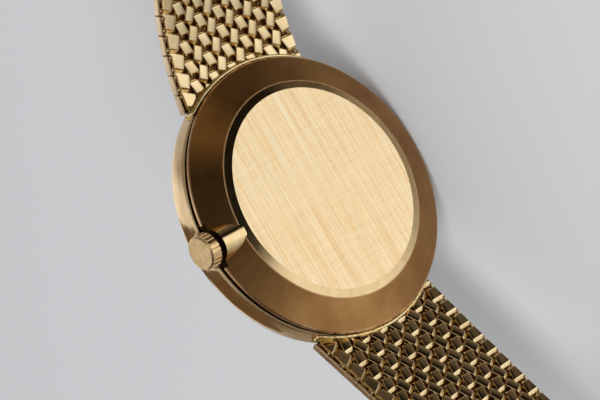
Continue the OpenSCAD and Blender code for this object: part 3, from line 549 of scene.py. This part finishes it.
def collar_shape(h):
    """Bright seam along the case where a half of the bracelet is joined to it."""
    bm = bmesh.new()
    reach = math.asin((half_width(0) - SEAM_INSET) / TRIM_R)
    inner_r, outer_r = SEAM_PROFILE[0][0], SEAM_PROFILE[-1][0]
    rings = []
    for i in range(SEAM_STEPS + 1):
        a = reach * (2 * i / SEAM_STEPS - 1)
        # A faint unevenness, as of solder
        wave = 0.015 * math.sin(61 * a) + 0.012 * math.sin(143 * a + 1)
        top = h.seam_y + (SEAM_R * math.cos(a) - PATH_START[0]) * math.tan(h.tilt) * SEAM_FALL + wave
        low = top - SEAM_H
        profile = [(inner_r, low)] + [(r, top - drop) for r, drop in SEAM_PROFILE] + [(outer_r, low)]
        rings.append([bm.verts.new((r * math.cos(a), y, r * math.sin(a))) for r, y in profile])
    bridge(bm, rings)
    bm.faces.new(rings[0])
    bm.faces.new(rings[-1][::-1])
    bmesh.ops.recalc_face_normals(bm, faces=bm.faces)
    return bm


def ball_shape(r):
    bm = bmesh.new()
    bmesh.ops.create_uvsphere(bm, u_segments=14, v_segments=8, radius=r)
    return bm


def pin_shape(r, l):
    bm = bmesh.new()
    bmesh.ops.create_cone(bm, cap_ends=True, segments=20, radius1=r, radius2=r, depth=l)
    return bm


def shapes_at(h, s, j, edge):
    """The brick and the rail at s. Inner columns at the same s share a brick; s alone tells their parity."""
    key = (h.start, s, j if edge else 1)
    if key not in shapes:
        reach = math.copysign(EDGE_GROW, j - 1) if edge else 0.0
        brick = brick_shape(brick_l(s) + LONGER, brick_w(s) + WIDER, SLANT[j % 2], ENDS[::h.side], reach)
        shapes[key] = (brick, rail_shape(s) if edge else None)
    return shapes[key]


def weave_brick(pile, h, s, j, trimmed=False):
    """A brick on both faces; in the outer columns also the rail and a pin's head."""
    edge = j in (0, COLUMNS - 1)
    brick, rail = shapes_at(h, s, j, edge)
    lean = lean_at(s) * (1 if j % 2 else -1)
    sway_x = Matrix.Rotation(math.radians(random.uniform(-SWAY_X, SWAY_X)), 4, "X")
    sway_z = Matrix.Rotation(math.radians(random.uniform(-SWAY_Z, SWAY_Z)), 4, "Z")
    sway = sway_x @ sway_z
    base = place(h, s)
    m = base @ Matrix.Translation((0, 0, column_z(j, s))) @ Matrix.Rotation(lean, 4, "Y")
    cuts = []
    if trimmed:
        centre = m @ Vector((0.6, -0.5, 0))
        n = Vector((centre.x, 0, centre.z)).normalized()
        cuts.append((n * TRIM_R, n))
    outer = 1 if j else -1
    rim = []
    if edge:
        rim.append((Vector((0, 0, outer * (half_width(s) - RAIL_W - CHANNEL))), Vector((0, 0, -outer))))
    pile.put(brick, m @ sway, cuts + rim)
    pile.put(brick, m @ OTHER_FACE @ sway, cuts + rim)
    if edge:
        flip = Matrix.Diagonal((1, 1, outer, 1))
        pile.put(rail, base @ flip, cuts)
        head_at = (ROW_PITCH / 2 - HEAD_BACK, -HEAD_DROP, half_width(s) - RAIL_W - HEAD_INSET)
        pile.put(ball_shape(HEAD_R), base @ flip @ Matrix.Translation(head_at), cuts)


def weave_pin(pile, h, k, trimmed=False):
    s = h.start + ROW_PITCH * (k + 0.25)
    if trimmed and path_point(h, s)[0] < TRIM_R:
        return
    m = place(h, s) @ Matrix.Translation((0, -BRICK_T / 2, 0))
    pile.put(pin_shape(PIN_R, 2 * half_width(s) - 0.3), m)


def brick_s(h, k, j):
    """Length along the path of column j's brick in row k; even columns lag by half a row."""
    return h.start + (k - (0 if j % 2 else 0.5)) * ROW_PITCH


# Bracelet: seven groups of four rows to a half, an end row trimmed round the case, and the seam's collar
shapes = {}
for half, h in HALVES.items():
    for g in range(1, GROUPS + 1):
        pile = Pile()
        for k in range((g - 1) * ROWS + 1, g * ROWS + 1):
            for j in range(COLUMNS):
                weave_brick(pile, h, brick_s(h, k, j), j)
            weave_pin(pile, h, k - 0.5)
            weave_pin(pile, h, k)
        pile.finish(f"{half}_woven_{g}", link_gold, "bracelet_gold", f"{half} links {g}", f"{half}_links_{g}")
    pile = Pile()
    for k in (-1, 0):
        for j in range(COLUMNS):
            s = brick_s(h, k, j)
            if math.hypot(path_point(h, s)[0], column_z(j, s)) > TRIM_R - TRIM_SLACK:
                weave_brick(pile, h, s, j, True)
    for k in (-0.5, 0):
        weave_pin(pile, h, k, True)
    pile.finish(f"{half}_woven_end", link_gold, "bracelet_gold", "case", f"{half}_end_row")
    pile = Pile()
    pile.put(collar_shape(h), Matrix.Diagonal((h.side, 1, 1, 1)))
    pile.finish(f"{half}_collar", seam_gold, "polished_gold", "case")

FINISHES = {
    side_gold: "middle_case",
    gold: "bezel hour_markers hour_hand minute_hand clasp_cover clasp_blade catch_bar",
    # The crown's tube is painted dark, as shade
    shade_gold: "crown_tube",
    case_gold: "case_back",
    knurl_gold: "crown",
    rhodium: "main_plate barrel_bridge train_bridge pallet_bridge balance_cock movement_ring",
    steel: "ratchet_wheel crown_wheel click cannon_pinion escape_wheel pallet_fork stem winding_pinion "
           "setting_lever",
    blued: "hairspring bridge_screws casing_screws",
    brass: "barrel centre_wheel minute_wheel hour_wheel third_wheel fourth_wheel balance_wheel",
    ruby: "jewels",
    rubber: "back_gasket crown_gasket",
    dial_face: "dial",
    crystal: "crystal",
}
finish_of = {n: m for m, names in FINISHES.items() for n in names.split()}
for name, o in nodes.items():
    o.data.materials.clear()
    o.data.materials.append(finish_of.get(name, link_gold))

# Stage
floor_z = cad_box[0][2]
bpy.ops.mesh.primitive_plane_add(size=6, location=(0, 0, floor_z))
floor = bpy.context.object
floor.name = "floor"
floor_paint = Nodes("floor_paint").surface("ShaderNodeBsdfDiffuse", {"Color": (0.52, 0.525, 0.54, 1)})
floor.data.materials.append(floor_paint)
floor.visible_glossy = False

# Brown cards below and to the left: the side of the watch mirrors them, and the camera doesn't see them.
# The middle one stands lower, so that the crown's flat end mirrors less of it.
paint_nodes = Nodes("card_paint")
mottle = paint_nodes.noise(paint_nodes.coords(), 60.0)
tone = paint_nodes.ramp(mottle, (0.3, (0.16, 0.10, 0.055)), (0.7, (0.24, 0.16, 0.09)))
card_paint = paint_nodes.surface("ShaderNodeBsdfDiffuse", {"Color": tone})
turn = Vector((0, 0.79, -0.61)).to_track_quat("Z", "X").to_euler()
up_card = Vector((0, 0.61, 0.79))
CARDS = (("card_right", 0.040, 0.066, 0), ("card_left", -0.0145, 0.015, 0), ("card_middle", 0, 0.014, -0.047))
for name, x, width, rise in CARDS:
    at = Vector((x, -0.05, 0.05)) + up_card * rise
    bpy.ops.mesh.primitive_plane_add(size=1, location=at, rotation=turn)
    card = bpy.context.object
    card.name = name
    card.scale = (0.09, width, 1)
    card.data.materials.append(card_paint)
    card.visible_camera = False
    card.visible_diffuse = False
    card.visible_shadow = False

w = Nodes("studio", world=True)
direction = w.add("ShaderNodeTexCoord").outputs["Generated"]


def along(v):
    inputs = {0: direction, 1: tuple(v)}
    return w.add("ShaderNodeVectorMath", inputs, operation="DOT_PRODUCT").outputs["Value"]


side, high, front = along(RIGHT), along(UP), along(TOWARDS)
# A soft box on the picture's right, a pale backdrop on the left, a dim ceiling and a dark room behind
# the camera
box = w.product(w.span(side, 0.64, 0.74), w.span(front, 0.85, 0.55), w.span(front, -0.45, 0.15))
box = w.product(box, w.span(high, -0.2, 0.35, 0.55, 1.0), w.span(high, 0.95, 0.8))
behind = w.span(front, -0.15, -0.5, 0.0, 0.2)
left = w.product(w.span(side, 0.0, -0.4), w.span(high, -1.0, -0.45, 0.1, 0.62),
                 w.span(high, 0.05, 0.3, 1.12, 0.32))
# Darkest above and behind the camera, which the bevel mirrors on its left
deep = w.product(w.span(side, 0.7, 0.58), w.span(high, 0.2, 0.4), w.span(front, -0.1, 0.1))
level = w.math("ADD", w.product(box, 1.04), w.span(deep, 0.0, 1.0, 0.1, 0.012, smooth=False))
level = w.math("ADD", level, w.math("ADD", behind, left))
# Camera, glossy and clear rays see the studio; everything else gets an even fill
path = w.add("ShaderNodeLightPath")
seen = w.math("MAXIMUM", path.outputs["Is Camera Ray"], path.outputs["Is Glossy Ray"])
seen = w.math("MAXIMUM", seen, path.outputs["Is Transmission Ray"])
tint = w.ramp(level, (0.1, (1.0, 0.80, 0.62)), (0.5, (1.0, 0.99, 0.97)))
studio = w.add("ShaderNodeBackground", {"Color": tint, "Strength": level})
fill = w.add("ShaderNodeBackground", {"Color": (1, 1, 1, 1), "Strength": 0.6})
both = w.add("ShaderNodeMixShader", {"Fac": seen, 1: fill.outputs[0], 2: studio.outputs[0]})
w.add("ShaderNodeOutputWorld", {"Surface": both.outputs[0]})
bpy.context.scene.world = w.owner

key = bpy.data.lights.new("key", "AREA")
key.size = 0.4
key.energy = 4.0
lamp = bpy.data.objects.new("key", key)
bpy.context.collection.objects.link(lamp)
lamp.location = (0.25, 0.35, 0.5)
lamp.rotation_euler = (-lamp.location).to_track_quat("-Z", "Y").to_euler()
lamp.visible_glossy = False

cam = bpy.data.cameras.new("camera")
cam.lens = LENS
cam.sensor_width = SENSOR_W
cam.clip_start = 0.01
camera = bpy.data.objects.new("camera", cam)
bpy.context.collection.objects.link(camera)
axes = Matrix((RIGHT, UP, TOWARDS)).transposed().to_4x4()
camera.matrix_world = Matrix.Translation(CAMERA_AT * MM) @ axes
bpy.context.scene.camera = camera
bpy.context.scene.view_settings.view_transform = "Standard"
